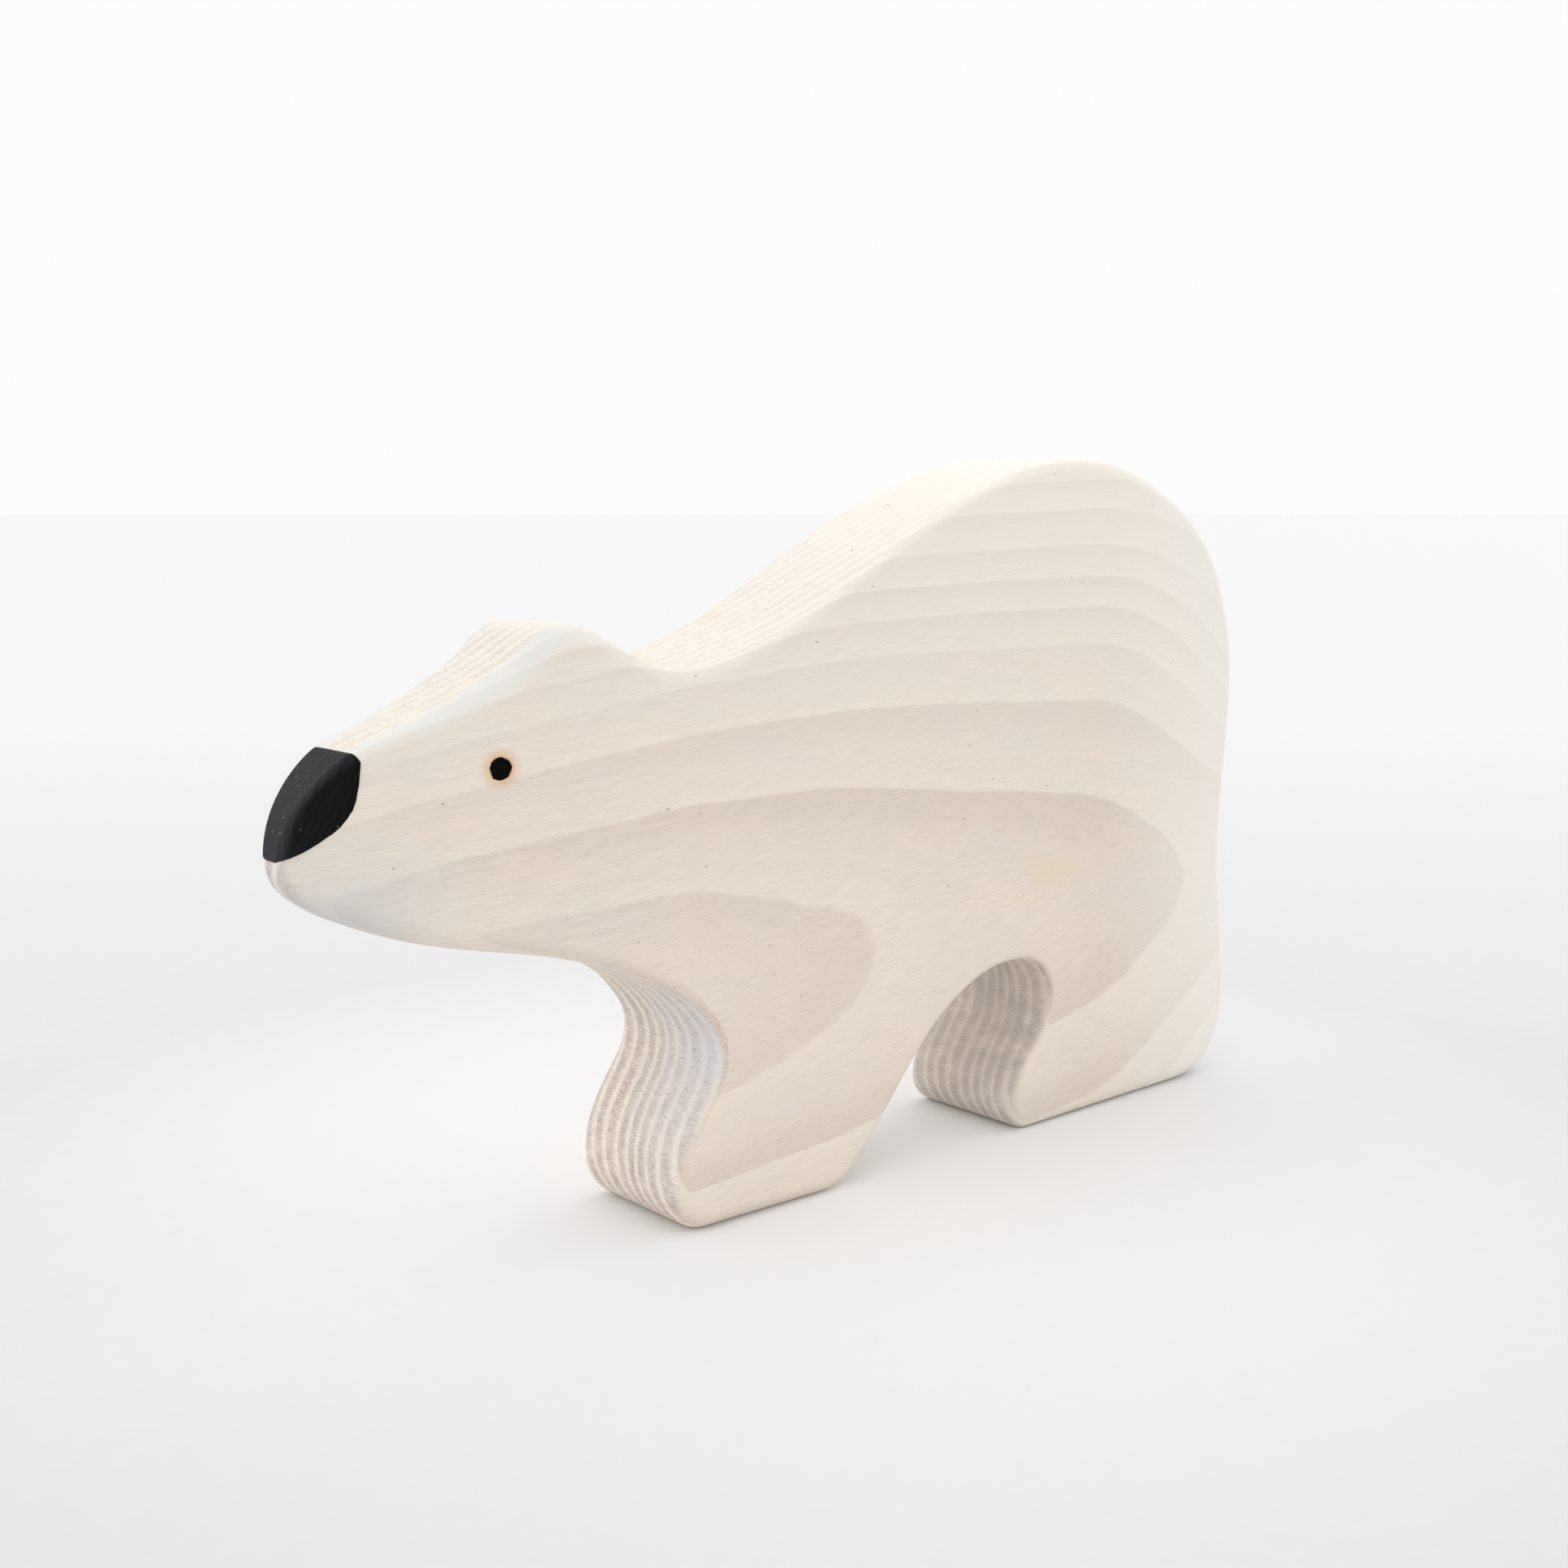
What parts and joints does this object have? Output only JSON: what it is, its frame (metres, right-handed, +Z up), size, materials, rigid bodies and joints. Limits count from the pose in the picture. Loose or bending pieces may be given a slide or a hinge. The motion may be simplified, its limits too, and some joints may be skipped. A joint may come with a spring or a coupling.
{
  "type": "wooden bear figurine",
  "caption": "Standing polar bear figurine sawn from one flat board with eased edges, a narrowed snout with a black painted nose and small burnt eyes.",
  "frame": {"origin": "on the ground under the middle of the bear: centre of the bounding box in X and Y, the soles at Z 0", "axes": "+X along the bear from the snout to the rump, +Y through the board's thickness, +Z up from the soles to the back"},
  "size_m": [0.1482, 0.02, 0.09],
  "materials": {
    "whitened_wood": "open-grained softwood rubbed with thin white stain, matt",
    "black_paint": "brushed matt paint",
    "charred_wood": "charred, matt"
  },
  "bodies": {
    "root": {"body": "whitened_wood", "nose_paint": "black_paint", "eye_left": "charred_wood", "eye_right": "charred_wood"}
  },
  "joints": []
}
